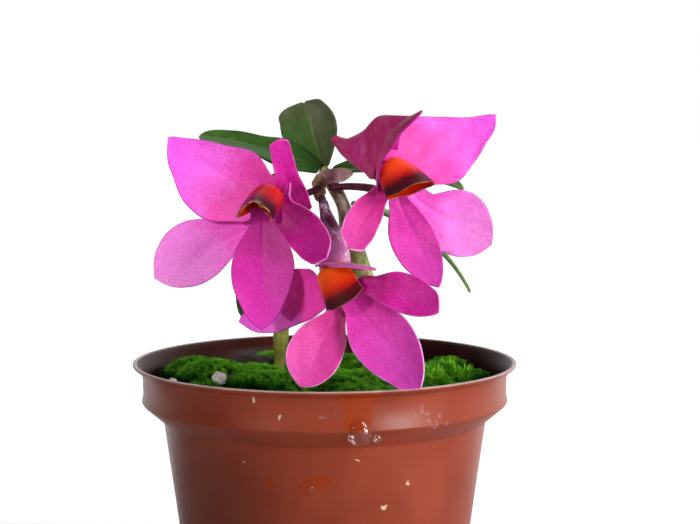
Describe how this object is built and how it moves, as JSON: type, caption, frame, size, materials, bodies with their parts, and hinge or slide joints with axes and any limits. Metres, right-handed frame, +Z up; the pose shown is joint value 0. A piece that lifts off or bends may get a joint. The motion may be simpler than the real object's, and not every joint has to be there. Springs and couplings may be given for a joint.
{
  "type": "potted dendrobium orchid",
  "caption": "Small dendrobium orchid in flower, with magenta blooms and orange lips, growing in moss in a tapered plastic nursery pot",
  "frame": {"origin": "middle of the pot's flat base, on the surface that it stands on", "axes": "+Z up along the pot's axis, -Y towards the side that the blooms face, +X to the right of a viewer there"},
  "size_m": [0.07, 0.0716, 0.1092],
  "materials": {
    "terracotta_plastic": "semi-gloss moulded polypropylene, wet in places",
    "bark_mix": "damp shredded bark",
    "moss_green": "living cushion moss",
    "perlite_white": "porous white grain",
    "cane_olive": "smooth green cane",
    "leaf_green": "waxy leaf",
    "dry_sheath": "dry papery bract",
    "stalk_purple": "smooth dark flower stalk",
    "petal_magenta": "soft petal with a fine cell sparkle",
    "sepal_magenta": "soft sepal with a fine cell sparkle",
    "lip_orange": "waxy lip with a dark rim",
    "column_yellow": "waxy column"
  },
  "bodies": {
    "root": {"pot": "terracotta_plastic", "potting_mix": "bark_mix", "moss": "moss_green", "perlite_large": "perlite_white", "perlite_small": "perlite_white", "bark_chip": "bark_mix", "cane_flowering": "cane_olive", "cane_old": "cane_olive", "leaf_upright": "leaf_green", "leaf_strap": "leaf_green", "leaf_behind": "leaf_green", "leaf_drooping": "leaf_green", "leaf_lower": "leaf_green", "rachis": "dry_sheath", "papery_bract": "dry_sheath", "dry_sheath": "dry_sheath", "left_lateral_sepals": "sepal_magenta", "left_dorsal_sepal": "sepal_magenta", "left_petal_left": "petal_magenta", "left_petal_right": "petal_magenta", "left_lip": "lip_orange", "left_column": "column_yellow", "left_pedicel": "stalk_purple", "right_lateral_sepals": "sepal_magenta", "right_dorsal_sepal": "sepal_magenta", "right_petal_left": "petal_magenta", "right_petal_right": "petal_magenta", "right_lip": "lip_orange", "right_column": "column_yellow", "right_pedicel": "stalk_purple", "lower_lateral_sepals": "sepal_magenta", "lower_dorsal_sepal": "sepal_magenta", "lower_petal_left": "petal_magenta", "lower_petal_right": "petal_magenta", "lower_lip": "lip_orange", "lower_column": "column_yellow", "lower_pedicel": "stalk_purple"}
  },
  "joints": []
}
